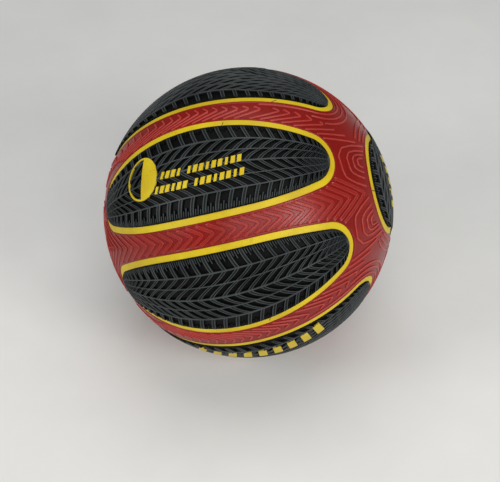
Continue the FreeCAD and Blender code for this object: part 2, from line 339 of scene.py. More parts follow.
# For each line across a panel, from one long edge to the other: how far across it is, how many
# pitches the ribs have moved along by there, half the line's thickness, and how much the ribs
# bow on the way to the next line.
LONG_LINES = [
    (0.0, 2.42, 0.0, 0.5),
    (0.215, 2.80, 0.007, 0.25),
    (0.36, 1.45, 0.0045, -0.3),
    (0.52, 0.0, 0.008, 0.55),
    (0.665, 1.22, 0.0045, 0.45),
    (0.81, 2.42, 0.008, -0.4),
    (1.0, 1.95, 0.0, 0.0),
]


# the same for a lobe: where its two outer lines lie, how many even rows are between them, how
# many pitches the ribs move along in each, and half a line's thickness
LOBE_LINES = (0.115, 0.885)
LOBE_ROWS = 8
LOBE_MOVE = 1.25
LOBE_LINE_HALF = 0.006


def lobe_lines():
    first, last = LOBE_LINES
    lines = [(0.0, 4.6, 0.0, 0.0)]
    for k in range(LOBE_ROWS):
        across = first + k * (last - first) / LOBE_ROWS
        lines.append((across, LOBE_MOVE * abs(k - LOBE_ROWS / 2), LOBE_LINE_HALF, 0.0))
    lines.append((last, LOBE_MOVE * LOBE_ROWS / 2, LOBE_LINE_HALF, 0.0))
    return lines + [(1.0, 4.6, 0.0, 0.0)]


# A rib's section: a shallow groove, then the flat top, a chamfer and a wall. The groove is in
# shares of the rib's half width, the chamfer and the wall in pitches beyond it.
GROOVE_HALF = 0.42
GROOVE_TOP = 0.60
GROOVE_LEVEL = 0.70
CHAMFER = 0.010
CHAMFER_LEVEL = 0.93
WALL_WIDTH = 0.040

# The comb between two ribs: where it starts beside a rib in pitches, how long its teeth are,
# and half a tooth's width at its foot and its top as shares of its room
COMB_START = 0.055
TOOTH_LENGTHS = (0.8, 1.0, 0.7)
TOOTH_FOOT = 0.34
TOOTH_TOP = 0.20


def rib_columns(half):
    """Places within one pitch from rib to rib: where, how high, and how long its comb tooth."""
    section = [(0.0, GROOVE_LEVEL), (GROOVE_HALF * half, GROOVE_LEVEL), (GROOVE_TOP * half, 1.0),
               (half, 1.0), (half + CHAMFER, CHAMFER_LEVEL), (half + WALL_WIDTH, 0.0)]
    columns = [(where, high, 0) for where, high in section]
    first = half + COMB_START
    room = (1 - 2 * first) / len(TOOTH_LENGTHS)
    for tooth, long in enumerate(TOOTH_LENGTHS):
        middle = first + (tooth + 0.5) * room
        for step, length in ((-TOOTH_FOOT, 0), (-TOOTH_TOP, long), (TOOTH_TOP, long), (TOOTH_FOOT, 0)):
            columns.append((middle + step * room, 0.0, length))
    return columns + [(1 - where, high, 0) for where, high in section[:0:-1]]


# how much of a shoulder row its comb fills: beside the channel, and beside the outer edge
COMB_SHARE = (0.52, 0.36)

# the walls and chamfers along a tread line, as shares of the way across the panel
LINE_WALL = 0.006
LINE_CHAMFER = 0.0016


def shoulder_samples(low, high, comb):
    """A shoulder row's lines of points, from the panel's edge to the row's inner wall."""
    ground = [(0.0, 0.1, 0.40), (0.10, 0.1, 0.30), (0.22, 0.1, 0.10), (0.6 * comb, 0.1, 0.05),
              (0.72 * comb, 0.75, 0.0), (0.9 * comb, 0.9, 0.0), (comb, 0.9, 0.0),
              (comb + 0.04, 1.0, 0.0), (0.75, 1.0, 0.0)]
    return ([(low + share * (high - low), 0.0, gap, level) for share, gap, level in ground]
            + [(high - LINE_WALL, 0.0, 1.0, 0.0), (high - LINE_CHAMFER, CHAMFER_LEVEL, 1.0, 0.0),
               (high, 1.0, 1.0, 0.0)])


def row_samples(lines, k):
    """The lines of points between tread line k and the next: across, height, longest gap in
    the comb (0: every tooth is there, 1: none is) and how high the comb's ground is."""
    start, _, start_half, _ = lines[k]
    end, _, end_half, _ = lines[k + 1]
    low = start + start_half
    high = end - end_half
    if k == 0:
        return shoulder_samples(low, high, COMB_SHARE[0])
    if k == len(lines) - 2:
        samples = shoulder_samples(low, high, COMB_SHARE[1])
        return [(low + high - across, *rest) for across, *rest in reversed(samples)]
    between = high - low - 2 * LINE_WALL
    inner = [low + LINE_WALL + share * between for share in (0.0, 0.25, 0.5, 0.75, 1.0)]
    return ([(low, 1.0, 1.0, 0.0), (low + LINE_CHAMFER, CHAMFER_LEVEL, 1.0, 0.0)]
            + [(across, 0.0, 1.0, 0.0) for across in inner]
            + [(high - LINE_CHAMFER, CHAMFER_LEVEL, 1.0, 0.0), (high, 1.0, 1.0, 0.0)])


def spacing_table(reach):
    """Pitches from a panel's middle against the share of its half length. They tighten up
    towards its tips."""
    share = np.linspace(0, 0.995, 400)
    pitches = reach / PITCH * 0.5 * (np.arctan(share) + np.arctanh(share))
    return pitches, share


def shoulder_height(across):
    """How high the tread may stand this far across: its shoulders slope down to the borders."""
    return np.interp(min(across, 1 - across), [0.0, 0.022, 0.047], [0.52, 0.86, 1.0])


class Lens:
    """A panel's inside, measured along its length and across from one long edge to the other."""

    def __init__(self, arcs):
        points, out = half_chain([arc.inset(BORDER_WIDTH) for arc in arcs], 0.08 * DEG)
        tip = int(np.argmax(points[:, 0]))
        self.tip_x = points[tip, 0]
        self.reach = math.degrees(math.asin(self.tip_x))
        self.sides = []
        for part in (slice(0, tip + 1), slice(len(points) - 1, tip - 1, -1)):
            self.sides.append((points[part], out[part]))

    def edge(self, side, share):
        """Edge points and outward directions at shares of the half length, -1 to 1."""
        points, out = self.sides[side]
        x = np.sin(np.abs(share) * self.reach * DEG)
        x = np.clip(x, 0, self.tip_x)
        found = np.stack([np.interp(x, points[:, 0], points[:, k]) for k in range(3)], -1)
        found_out = np.stack([np.interp(x, points[:, 0], out[:, k]) for k in range(3)], -1)
        flip = np.where(share < 0, -1.0, 1.0)
        found[..., 0] *= flip
        found_out[..., 0] *= flip
        return unit(found), unit(found_out)

    def at(self, share, across):
        """Places at shares of the half length, this far across."""
        a, _ = self.edge(0, share)
        b, _ = self.edge(1, share)
        angle = np.arccos(np.clip((a * b).sum(-1), -1, 1))[..., None]
        safe = np.maximum(np.sin(angle), 1e-9)
        mixed = (np.sin((1 - across) * angle) * a + np.sin(across * angle) * b) / safe
        return unit(np.where(angle > 1e-6, mixed, a))


# The share of the spacing table that ribs fill; from which share of the half length extra ribs
# appear, over how much they rise and how high they get; over how much the cells fade out
# before a panel's tip
FILLED = 0.86
FINE_FROM = 0.66
FINE_RISE = 0.12
FINE_HEIGHT = 0.9
TIP_FADE = 0.03
TIP_FADED = 0.35

# points that close each line up to the tip, and the outermost row's drop and step out
TIP_POINTS = 8
EDGE_DROP = 0.06
EDGE_STEP = 0.05 * DEG


def rib_run(half, ribs):
    """A row of ribs: places along it in pitches, their heights and their comb teeth."""
    columns = rib_columns(half)
    run = [(rib + where, high, tooth) for rib in ribs for where, high, tooth in columns]
    return np.array(run, float).T


def tread_rows(lens, lines):
    """Each line of points: how far across it is, its shares of the half length, its heights."""
    pitches, shares = spacing_table(lens.reach)
    most = max(line[1] for line in lines)
    count = int(pitches[-1] * FILLED)
    ribs = range(-count - int(most), count - int(most / 2))
    shoulders = (0, len(lines) - 2)
    rows = []
    for k in range(len(lines) - 1):
        where, high, teeth = rib_run(SHOULDER_RIB if k in shoulders else BODY_RIB, ribs)
        start, moved_start, _, bow = lines[k]
        end, moved_end, _, _ = lines[k + 1]
        for across, row_high, gap, ground in row_samples(lines, k):
            f = (across - start) / (end - start)
            f += bow * f * (f - 1)
            moved = where + moved_start + f * (moved_end - moved_start)
            share = np.sign(moved) * np.interp(np.abs(moved), pitches, shares)
            level = np.maximum(high, max(row_high, ground))
            level = np.maximum(level, np.where(teeth > gap, COMB_HEIGHT[0 if k == 0 else 1], 0.0))
            if k not in shoulders:
                extra = np.clip((np.abs(share) - FINE_FROM) / FINE_RISE, 0, 1)
                level = np.maximum(level, np.where(teeth == 1.0, FINE_HEIGHT * extra, 0.0))
            fade = np.clip((1 - np.abs(share)) / TIP_FADE - TIP_FADED, 0, 1)
            rows.append((across, share, 1 - (1 - level) * fade))
    return rows


def closed_rows(rows, heading):
    """The same lines, run on to the panel's tips, turned its way and lowered at the shoulders."""
    close = 1 - (1 - np.arange(1, TIP_POINTS + 1) / TIP_POINTS) ** 2
    tip = np.ones(TIP_POINTS)
    closed = []
    for across, share, level in rows:
        right = share[-1] + (1 - share[-1]) * close
        left = share[0] + (-1 - share[0]) * close
        share = np.concatenate([left[::-1], share, right])
        level = np.minimum(np.concatenate([tip, level, tip]), shoulder_height(across))
        closed.append((across, share * heading, level))
    return closed


def tread_radius(level):
    return (TREAD_FLOOR + (TREAD_TOP - TREAD_FLOOR) * level)[:, None]


def tread_points(arcs, lines, heading):
    """A tread's grid of points, in the panel's own frame."""
    lens = Lens(arcs)
    rows = closed_rows(tread_rows(lens, lines), heading)
    points = [lens.at(share, across) * tread_radius(level) for across, share, level in rows]
    for side, row in enumerate((rows[0], rows[-1])):
        _, share, level = row
        edge, out = lens.edge(side, share)
        shoulder = edge * math.cos(EDGE_STEP) + out * math.sin(EDGE_STEP)
        extra = [shoulder * tread_radius(level - EDGE_DROP), shoulder * WALL_FOOT]
        points = points + extra if side else extra[::-1] + points
    return np.array(points)


def tread_panel(name, own, arcs, heading, material):
    points = tread_points(arcs, LONG_LINES if arcs is LONG else lobe_lines(), heading)
    rows, columns, _ = points.shape
    points = points.reshape(-1, 3) @ own.T * MM
    piece = new_piece(name + "_tread", points, grid_faces(rows, columns), material)
    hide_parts(name + "_panel")


# ---- the red cover: lips beside the borders, skin, the valve's boss and raised ridges ----

# how far outside a panel's outline, degrees, and how far from the ball's centre, mm
LIP_PROFILE = [(-0.04, 118.5), (0.0, 118.6), (0.06, 119.00), (0.14, 119.28), (0.28, 119.42),
               (0.46, 119.44), (0.70, 119.38), (0.98, 119.24), (1.25, 119.00)]
LIP_STEP = 0.45 * DEG


def lip_mesh(own, arcs):
    points, out = full_ring(arcs, LIP_STEP)
    rows = []
    for away, radius in LIP_PROFILE:
        rows.append((points * math.cos(away * DEG) + out * math.sin(away * DEG)) * radius)
    rows = np.array(rows)
    faces = grid_faces(len(rows), len(points), closed=True)
    return rows.reshape(-1, 3) @ own.T * MM, faces


def lips(material):
    points, faces = joined(lip_mesh(own, arcs) for _, own, arcs, _ in PANELS)
    piece = new_piece("channel_lips", points, faces, material)
    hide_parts("channel_cover")


VALVE = REST[:, 2]

# the boss: mm from the valve's axis, and from the ball's centre
BOSS_PROFILE = [(4.8, 118.3), (4.8, 119.5), (5.0, 119.68), (5.6, 119.8), (6.6, 119.8),
                (7.4, 119.68), (8.2, 119.4), (9.0, 118.95)]
BOSS_RADIUS = BOSS_PROFILE[-1][0]

# how far the skin stays outside the panels, and from the valve's axis in mm
SKIN_CLEAR = 0.25 * DEG
SKIN_HOLE = 6.2


def skin(material):
    """The plain ground of the red channels, cut off under the lips and the valve's boss."""
    work = bmesh.new()
    bmesh.ops.create_icosphere(work, subdivisions=8, radius=1.0)
    mesh = bpy.data.meshes.new("ball")
    work.to_mesh(mesh)
    work.free()
    points = np.empty(len(mesh.vertices) * 3)
    mesh.vertices.foreach_get("co", points)
    points = unit(points.reshape(-1, 3))
    corners = np.empty(len(mesh.loops), int)
    mesh.loops.foreach_get("vertex_index", corners)
    corners = corners.reshape(-1, 3)
    bpy.data.meshes.remove(mesh)
    clear = distances(points).min(-1) > SKIN_CLEAR
    clear &= points @ VALVE < math.cos(SKIN_HOLE / SKIN)
    keep = corners[clear[corners].all(-1)]
    used, index = np.unique(keep, return_inverse=True)
    faces = index.reshape(-1, 3).tolist()
    piece = new_piece("channel_skin", points[used] * SKIN * MM, faces, material)
    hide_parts("channel_cover")


def boss(material):
    """The raised ring of the cover round the valve."""
    count = 96
    angle = np.linspace(0, 2 * math.pi, count, endpoint=False)
    rows = []
    for away, radius in BOSS_PROFILE:
        height = math.sqrt(radius * radius - away * away)
        ring = [away * np.cos(angle), away * np.sin(angle), np.full(count, height)]
        rows.append(np.stack(ring, -1))
    points = np.array(rows).reshape(-1, 3) @ REST.T * MM
    faces = grid_faces(len(BOSS_PROFILE), count, closed=True)
    new_piece("valve_boss", points, faces, material)


def past_the_tip(arcs):
    """The half outline from its far end back to the panel's tip."""
    points, _ = half_chain(arcs, 0.5 * DEG)
    tip = int(np.argmax(points[:, 0]))
    return points[tip:][::-1]


def outer_edges(arcs_long, arcs_lobe):
    """Latitudes of the two sides of an outer channel, against longitude in a pair's frame."""
    lobe = past_the_tip(arcs_lobe) @ ROUND_THE_SIDE.T
    lobe[:, 0] = np.abs(lobe[:, 0])
    table = []
    for line in (past_the_tip(arcs_long), lobe):
        lon = np.degrees(np.arctan2(line[:, 0], line[:, 2]))
        lat = np.degrees(np.arcsin(line[:, 1]))
        order = np.argsort(lon)
        table.append((lon[order], lat[order]))
    return table


OUTER = outer_edges(LONG, FAR_LOBE)


def channel_latitude(lon, share):
    """Latitude in an outer channel: share 0 is the long panel's side, 1 the lobe's."""
    near = np.interp(np.abs(lon), *OUTER[0])
    far = np.interp(np.abs(lon), *OUTER[1])
    return near + share * (far - near)


def rounded(value, softness):
    return np.sqrt(value * value + softness * softness) - softness


def trace(corners, step=0.4, bend=1.3):
    """A path through corners given as longitude and latitude, rounded over bend degrees."""
    corners = np.array(corners, float)
    line = [corners[:1]]
    for before, corner, after in zip(corners, corners[1:], corners[2:]):
        arms = []
        for end in (before, after):
            gap = np.hypot(*(end - corner))
            arms.append(corner + (end - corner) * min(0.45, bend / gap))
        share = np.linspace(0, 1, 7)[:, None]
        bent = (1 - share) ** 2 * arms[0] + 2 * share * (1 - share) * corner
        line.append(bent + share ** 2 * arms[1])
    line = np.concatenate(line + [corners[-1:]])
    along = np.concatenate([[0], np.cumsum(np.hypot(*np.diff(line, axis=0).T))])
    stops = np.linspace(0, along[-1], max(8, int(along[-1] / step)))
    return np.interp(stops, along, line[:, 0]), np.interp(stops, along, line[:, 1])


# one side's outermost loop where the middle channel meets the lobe, and what the loops shrink to
LOOP = [(69.3, 1.9), (63.5, 4.4), (59.1, 7.4), (58.6, 10.4), (59.3, 15.8), (62.8, 18.5),
        (69.1, 18.3), (78.0, 16.4)]
LOOP_CENTRE = (71.5, 11.0)
LOOP_SHRINK = (1.0, 0.68, 0.44, 0.23)

# half a ridge's width and its height in mm, and how high its middle is as a share of its height
BROAD = (1.55, 0.76, 0.60)
NARROW = (0.95, 0.80, 0.90)

# the middle channel's chevrons, degrees: where the row ends, one to the next, how wide they
# reach, how much their points are softened, and how far they stop short of the loops
CHEVRON_ROW = 68.0
CHEVRON_PITCH = 4.2
CHEVRON_REACH = 10.5
CHEVRON_SOFTNESS = 0.35
LOOP_GAP = 0.9

# how far a chevron's arms sweep back for each degree out, by the place of its point
CHEVRON_SWEEP = ([-20, 25, 57], [1.5, 1.95, 1.65])

# an outer ridge by the place where it turns, degrees: the slope of its long arm, how far the arm
# reaches back, and where its short arm ends, back from the turn and out from it
ARM_SLOPE = ([-50, -20, 0, 38, 56, 74], [40, 30, 20, 4, -8, -17])
ARM_REACH = ([-62, -42, -18], [5.0, 9.0, 22.0])
HOOK_BACK = ([20, 44, 56, 60, 66], [3.4, 2.4, 1.4, 0.8, 0.3])
HOOK_OUT = ([20, 44, 56, 60, 66], [2.4, 2.6, 3.4, 2.2, 0.5])

# the bend of a loop's or an outer ridge's corners, degrees
TIGHT_BEND = 0.8

# outer ridges turn this share of the way across their channel
TURN_SHARE = 0.56


def middle_ridges():
    """Chevrons down the channel between a pair's two panels, stopping at the loops."""
    paths = []
    loop_lon, loop_lat = trace(LOOP[:4])
    for apex in np.arange(-CHEVRON_ROW, CHEVRON_ROW, CHEVRON_PITCH):
        lat = np.linspace(-CHEVRON_REACH, CHEVRON_REACH, 61)
        lon = apex - np.interp(apex, *CHEVRON_SWEEP) * rounded(lat, CHEVRON_SOFTNESS)
        room = np.interp(np.abs(lon), loop_lon[::-1], loop_lat[::-1], left=30.0) - LOOP_GAP
        keep = np.abs(lat) < room
        if keep.sum() >= LEAST_RUN:
            paths.append((place(lon[keep], lat[keep]), BROAD))
    return paths


def loop_ridges():
    """Nested pointed loops where the middle channel meets the lobe, one set each side."""
    paths = []
    centre = np.array(LOOP_CENTRE)
    for end in (-1, 1):
        for side in (-1, 1):
            for shrink in LOOP_SHRINK:
                corners = centre + shrink * (np.array(LOOP) - centre)
                lon, lat = trace(corners, step=0.3, bend=TIGHT_BEND)
                paths.append((place(end * lon, side * lat), NARROW))
    return paths


def outer_turns():
    """Where the outer ridges turn back: along the channel, then on a curve past the long
    panel's tip."""
    lon = np.arange(-65.0, 41.0, 5.3)
    turns = list(zip(lon, channel_latitude(lon, TURN_SHARE)))
    past = 4.2 * np.arange(8)
    return turns + list(zip(44.0 + past, 39.4 - 0.50 * past - 0.0068 * past * past))


def outer_ridges():
    """Hooked ridges along each outer channel: a long arm, a turn and a short arm back."""
    paths = []
    for side in (-1, 1):
        for lon, lat in outer_turns():
            slope = math.tan(np.interp(lon, *ARM_SLOPE) * DEG)
            reach = np.interp(lon, *ARM_REACH)
            hook = (lon - np.interp(lon, *HOOK_BACK), lat + np.interp(lon, *HOOK_OUT))
            corners = [(lon - reach, lat - reach * slope), (lon, lat), hook]
            path_lon, path_lat = trace(corners, bend=TIGHT_BEND)
            paths.append((place(path_lon, side * path_lat), NARROW))
    return paths


# a ridge's walls and the length over which its ends rise, mm, and its foot's share of its height
RIDGE_WALL = 0.34
RIDGE_RISE = 1.1
RIDGE_FOOT = -0.2


def ridge_strip(path, section):
    """A bead along a path of unit vectors, hollowed along its middle and low at both ends."""
    half, top, middle = section
    ahead = unit(np.gradient(path, axis=0))
    across = np.cross(path, ahead)
    along = np.concatenate([[0], np.cumsum(np.linalg.norm(np.diff(path, axis=0), axis=-1))]) * SKIN
    rise = np.clip(np.minimum(along, along[-1] - along) / RIDGE_RISE, 0, 1) ** 0.5
    wall = RIDGE_WALL / half
    left = [(-1.0, RIDGE_FOOT), (-1 + wall, 0.85), (-1 + 1.6 * wall, 1.0), (-1 + 2.2 * wall, middle)]
    profile = left + [(-share, height) for share, height in reversed(left)]
    rows = []
    for share, height in profile:
        radius = SKIN + top * np.where(height > 0, height * rise, height)
        side = path + across * (share * half / SKIN)
        rows.append(unit(side) * radius[:, None])
    rows = np.array(rows)
    return rows.reshape(-1, 3), grid_faces(len(profile), len(path))


# how far ridges stay outside the borders and may cross to the other pair's side, the fewest
# points a ridge or a ring is kept at, and how far a ring stays from the ridges
RIDGE_CLEAR = 0.42 * DEG
RIDGE_CROSSING = 1.0 * DEG
LEAST_RUN = 9
LEAST_RING = 12
RING_CLEAR = 1.7 * DEG

# how far outside a lobe's outline its rings lie, degrees
RINGS = (1.9, 4.2, 6.5)


def runs(good, least):
    """The unbroken stretches of a path, at least so many points long, where good is true."""
    found, begin = [], None
    for k, fine in enumerate(list(good) + [False]):
        if fine and begin is None:
            begin = k
        if not fine and begin is not None:
            if k - begin >= least:
                found.append(slice(begin, k))
            begin = None
    return found


def off_the_boss(path):
    return path @ VALVE < math.cos(BOSS_RADIUS / SKIN)


def pair_strips(own, own_pair, other_pair):
    """One pair's ridges, where they lie in the red on their own side of the ball."""
    strips = []
    for path, section in middle_ridges() + loop_ridges() + outer_ridges():
        path = path @ own.T
        away = distances(path)
        fine = (away.min(-1) > RIDGE_CLEAR) & off_the_boss(path)
        fine &= away[:, own_pair].min(-1) < away[:, other_pair].min(-1) + RIDGE_CROSSING
        strips += [(path[run], section) for run in runs(fine, LEAST_RUN)]
    return strips


def lobe_strips(own, arcs, taken):
    """Rings that follow a lobe's outline where the other ridges leave the red bare."""
    strips = []
    for away in RINGS:
        ring, _ = full_ring([arc.inset(-away * DEG) for arc in arcs], 0.4 * DEG)
        ring = ring @ own.T
        fine = (distances(ring).min(-1) > 0.95 * away * DEG) & off_the_boss(ring)
        fine &= (ring @ taken.T).max(-1) < math.cos(RING_CLEAR)
        start = int(np.argmin(fine))
        ring = np.roll(ring, -start, axis=0)
        fine = np.roll(fine, -start)
        strips += [(ring[run], NARROW) for run in runs(fine, LEAST_RING)]
    return strips


def ridges(material):
    strips = pair_strips(REST, [0, 1], [4, 5]) + pair_strips(REST @ FAR_SIDE, [4, 5], [0, 1])
    for _, own, arcs, _ in PANELS:
        if arcs is not LONG:
            taken = np.concatenate([path[::3] for path, _ in strips])
            strips += lobe_strips(own, arcs, taken)
    points, faces = joined(ridge_strip(path, section) for path, section in strips)
    piece = new_piece("channel_ridges", points * MM, faces, material, 50.0)
    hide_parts("channel_cover")


# ---- raised prints: plain shapes in place of the printed marks ----


def patch(places, radii):
    """A thin plate over a grid of places, with walls down all round."""
    rows, columns, _ = places.shape
    top = places.reshape(-1, 3) * radii[0]
    faces = grid_faces(rows, columns)
    rim = [(0, c) for c in range(columns)] + [(r, columns - 1) for r in range(1, rows)]
    rim += [(rows - 1, c) for c in range(columns - 2, -1, -1)]
    rim += [(r, 0) for r in range(rows - 2, 0, -1)]
    foot = np.array([places[r, c] for r, c in rim]) * radii[1]
    base = len(top)
    for k, (r, c) in enumerate(rim):
        following = (k + 1) % len(rim)
        next_r, next_c = rim[following]
        faces.append((r * columns + c, next_r * columns + next_c, base + following, base + k))
    return np.concatenate([top, foot]), faces


def slanted_block(lon, lat, width, height, lean):
    across, up = np.meshgrid(np.linspace(-0.5, 0.5, 5), np.linspace(-0.5, 0.5, 6))
    return place(lon + across * width + up * lean, lat + up * height)


# the badge, degrees: its middle, its width as a share of its height, and its half heights: the
# filled half from its inner edge, the ring on the other half, and the outside of both
BADGE_PLACE = (-24.6, 24.6)
BADGE_WIDTH = 1.0
BADGE_FILLED = 0.3
BADGE_RING = 7.5
BADGE_OUTSIDE = 8.2

# rows of slanted bars, degrees: where each starts, its latitude, and how many bars a group has
BAR_ROWS = ((-13.6, 24.3, (4, 9)), (-16.4, 19.2, (6, 8)))
BAR_STEP = 2.55
BAR_GAP = 2.0


def badge_part(inner, begin, end):
    """Part of an upright oval, from half height inner outward and from one angle to another."""
    radius, angle = np.meshgrid(np.linspace(inner, BADGE_OUTSIDE, 5), np.linspace(begin, end, 49) * DEG)
    lon = BADGE_PLACE[0] + BADGE_WIDTH * radius * np.cos(angle)
    return place(lon, BADGE_PLACE[1] + radius * np.sin(angle))


def bars():
    """The slanted bars, every third one narrower."""
    shapes = []
    for lon, lat, groups in BAR_ROWS:
        for count in groups:
            for k in range(count):
                shapes.append(slanted_block(lon, lat, 1.7 if k % 3 else 1.1, 2.6, 0.9))
                lon += BAR_STEP
            lon += BAR_GAP
    return shapes


def print_piece(name, panel, shapes, material, radii=(PRINT_TOP, PRINT_FOOT)):
    own = next(matrix for found, matrix, _, _ in PANELS if found == panel)
    points, faces = joined(patch(shape, radii) for shape in shapes)
    new_piece(name, points @ own.T * MM, faces, material)


def prints(material):
    badge = [badge_part(BADGE_RING, 85, 275), badge_part(BADGE_FILLED, -90, 90)]
    print_piece("front_badge", "front_upper", badge, material)
    print_piece("front_bars", "front_upper", bars(), material)
    blocks = [slanted_block(lon, 24.0, 3.6, 8.0, 2.4) for lon in np.linspace(-27, 27, 9)]
    print_piece("bottom_blocks", "bottom_lobe", blocks, material)
    blocks = [slanted_block(lon, 6.0, 2.6, 5.0, 1.2) for lon in np.linspace(-9, 9, 5)]
    print_piece("side_blocks", "right_lobe", blocks, material)


# short dark marks across the borders where the paint's two ends meet: panel, lon, lat, lean
SPLICES = [("front_upper", 15.0, 39.6, 1.6), ("front_lower", -16.0, 39.4, 1.4),
           ("top_lobe", -35.0, 29.8, 1.5), ("right_lobe", 0.5, -16.2, 0.8)]

# the marks' top and foot, mm from the ball's centre
SPLICE_RADII = (118.88, 118.70)


def splices(material):
    for number, (panel, lon, lat, lean) in enumerate(SPLICES, start=1):
        mark = slanted_block(lon, lat, 0.32, 2.6, lean)
        print_piece("border_splice_%d" % number, panel, [mark], material, SPLICE_RADII)


# ---- materials ----


class Nodes:
    """A short way to write a material's nodes and links."""

    def __init__(self, name):
        self.material = bpy.data.materials.new(name)
        self.material.use_nodes = True
        self.tree = self.material.node_tree
        self.shader = self.tree.nodes["Principled BSDF"]
        self.position = self.add("ShaderNodeTexCoord").outputs["Object"]

    def add(self, kind, links=(), **values):
        node = self.tree.nodes.new(kind)
        for name, value in values.items():
            setattr(node, name, value)
        for name, source in links:
            self.tree.links.new(source, node.inputs[name])
        return node

    def noise(self, scale, detail=4.0, rough=0.6):
        node = self.add("ShaderNodeTexNoise", [("Vector", self.position)])
        node.inputs["Scale"].default_value = scale
        node.inputs["Detail"].default_value = detail
        node.inputs["Roughness"].default_value = rough
        return node.outputs[0]

    def ramp(self, source, stops):
        node = self.add("ShaderNodeValToRGB", [("Fac", source)])
        elements = node.color_ramp.elements
        while len(elements) < len(stops):
            elements.new(0.5)
        for element, (where, colour) in zip(elements, stops):
            element.position = where
            element.color = (*colour, 1.0)
        return node.outputs["Color"]

    def measure(self, source, low, high, to_low=0.0, to_high=1.0):
        node = self.add("ShaderNodeMapRange", [("Value", source)])
        node.inputs["From Min"].default_value = low
        node.inputs["From Max"].default_value = high
        node.inputs["To Min"].default_value = to_low
        node.inputs["To Max"].default_value = to_high
        return node.outputs["Result"]

    def radius(self):
        node = self.add("ShaderNodeVectorMath", operation="LENGTH")
        self.tree.links.new(self.position, node.inputs[0])
        return node.outputs["Value"]

    def mix(self, share, first, second, blend="MIX"):
        node = self.add("ShaderNodeMix", data_type="RGBA", blend_type=blend)
        self.connect(share, node.inputs[0])
        self.connect(first, node.inputs[6])
        self.connect(second, node.inputs[7])
        return node.outputs[2]

    def connect(self, source, socket):
        if isinstance(source, bpy.types.NodeSocket):
            self.tree.links.new(source, socket)
        elif isinstance(source, tuple):
            socket.default_value = (*source, 1.0)
        else:
            socket.default_value = source

    def bump(self, height, distance, strength):
        node = self.add("ShaderNodeBump", [("Height", height)])
        node.inputs["Distance"].default_value = distance
        node.inputs["Strength"].default_value = strength
        self.tree.links.new(node.outputs["Normal"], self.shader.inputs["Normal"])

    def finish(self, colour, roughness, specular=0.5):
        self.connect(colour, self.shader.inputs["Base Color"])
        self.connect(roughness, self.shader.inputs["Roughness"])
        self.shader.inputs["Specular IOR Level"].default_value = specular
        return self.material


# radii in mm between which the tread turns from deep black in the cells, which is painted shade, to the
# grey of wear on the rib tops
CELL_SHADE_RADIUS = 118.9
WORN_TOP_RADIUS = 120.35


def tread_material():
    """Black rubber: glossy, deep black in the cells from painted shade, greyed by wear on the rib tops.
    """
    n = Nodes("tread_rubber")
    raised_share = n.measure(n.radius(), CELL_SHADE_RADIUS * MM, WORN_TOP_RADIUS * MM)
    # painted shade: the lower a place lies in the cells, the darker its colour; the rib tops are greyed
    # by wear
    ground = n.ramp(raised_share, [(0.0, (0.0010, 0.0012, 0.0012)), (0.55, (0.006, 0.0065, 0.007)),
                           (0.80, (0.038, 0.043, 0.044)), (1.0, (0.055, 0.063, 0.064))])
    dust = n.ramp(n.noise(38.0), [(0.35, (0.75, 0.75, 0.75)), (0.70, (1.30, 1.28, 1.25))])
    colour = n.mix(1.0, ground, dust, "MULTIPLY")
    spots = n.measure(n.noise(90.0), 0.3, 0.7, -0.06, 0.06)
    smooth = n.measure(raised_share, 0.3, 1.0, 0.55, 0.40)
    rough = n.add("ShaderNodeMath", operation="ADD")
    n.connect(spots, rough.inputs[0])
    n.connect(smooth, rough.inputs[1])
    n.bump(n.noise(900.0, 3.0), 0.00012, 0.35)
    return n.finish(colour, rough.outputs[0], 0.13)


# the channels' ground red, and the paler red of the ridges' tops, which is a painted highlight on the
# same rubber
CHANNEL_RED = (0.245, 0.006, 0.003)
RIDGE_HIGHLIGHT_RED = (0.36, 0.022, 0.014)

# mm above the skin between which the red turns from its ground to the painted highlight of raised parts
PAINTED_HIGHLIGHT_FROM = 0.20
PAINTED_HIGHLIGHT_TO = 0.80


def channel_material(name, top):
    """Red rubber with a painted highlight: raised parts turn from the ground red to top, and paler still
    at their tallest.
    """
    n = Nodes(name)
    raised_share = n.measure(n.radius(), (SKIN + PAINTED_HIGHLIGHT_FROM) * MM, (SKIN + PAINTED_HIGHLIGHT_TO) * MM)
    # painted highlight: the tallest parts are paler than top
    edge = tuple(min(1.0, 1.30 * part + 0.02) for part in top)
    ground = n.ramp(raised_share, [(0.0, CHANNEL_RED), (0.62, top), (1.0, edge)])
    dust = n.ramp(n.noise(30.0), [(0.30, (0.85, 0.82, 0.82)), (0.72, (1.10, 1.15, 1.15))])
    colour = n.mix(1.0, ground, dust, "MULTIPLY")
    rough = n.measure(n.noise(110.0), 0.3, 0.7, 0.27, 0.39)
    n.bump(n.noise(800.0, 3.0), 0.0001, 0.3)
    return n.finish(colour, rough, 0.33)


def yellow_material(name, scuffed):
    """Painted rubber, a little scuffed and dirty."""
    n = Nodes(name)
    dirt = n.ramp(n.noise(170.0, 6.0, 0.7), [(0.60, (1.0, 1.0, 1.0)), (0.80, scuffed)])
    ground = n.ramp(n.noise(25.0), [(0.35, (0.60, 0.42, 0.010)), (0.65, (0.74, 0.56, 0.013))])
    colour = n.mix(1.0, ground, dirt, "MULTIPLY")
    rough = n.measure(n.noise(120.0), 0.3, 0.7, 0.38, 0.52)
    n.bump(n.noise(700.0, 3.0), 0.00008, 0.25)
    return n.finish(colour, rough, 0.28)


def plain_material(name, dark, light, rough, scale):
    """Any other rubber: a little uneven in colour and gloss."""
    n = Nodes(name)
    colour = n.ramp(n.noise(scale), [(0.3, dark), (0.7, light)])
    roughness = n.measure(n.noise(scale * 3), 0.3, 0.7, rough - 0.06, rough + 0.06)
    n.bump(n.noise(scale * 12, 3.0), 0.0001, 0.3)
    return n.finish(colour, roughness)


